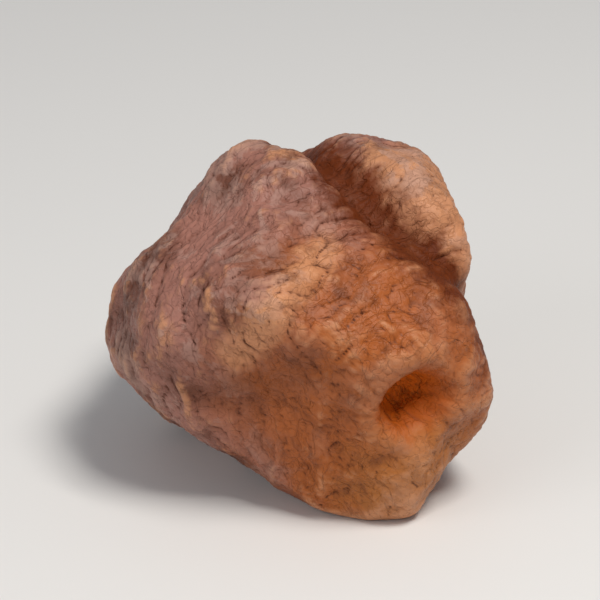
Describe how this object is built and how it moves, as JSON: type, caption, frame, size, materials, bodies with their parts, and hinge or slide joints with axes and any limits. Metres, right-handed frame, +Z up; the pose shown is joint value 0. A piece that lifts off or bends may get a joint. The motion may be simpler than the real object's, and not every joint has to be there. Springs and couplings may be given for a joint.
{
  "type": "black cardamom seed",
  "caption": "Dried black cardamom seed, angular where its neighbours pressed it, with a pitted hilum at one end and a groove over its top.",
  "frame": {"origin": "on the surface that the seed lies on, under the middle of its bounding box", "axes": "+Z up, Y along the seed's long axis with the hilum facing -Y, +X to the right of the hilum as one looks along +Y"},
  "size_m": [0.0036, 0.004, 0.0033],
  "materials": {
    "seed_coat": "dull dry seed coat, red-brown with a mauve bloom, orange-brown round the hilum and dark in the pit and the groove"
  },
  "bodies": {
    "root": {"seed": "seed_coat"}
  },
  "joints": []
}
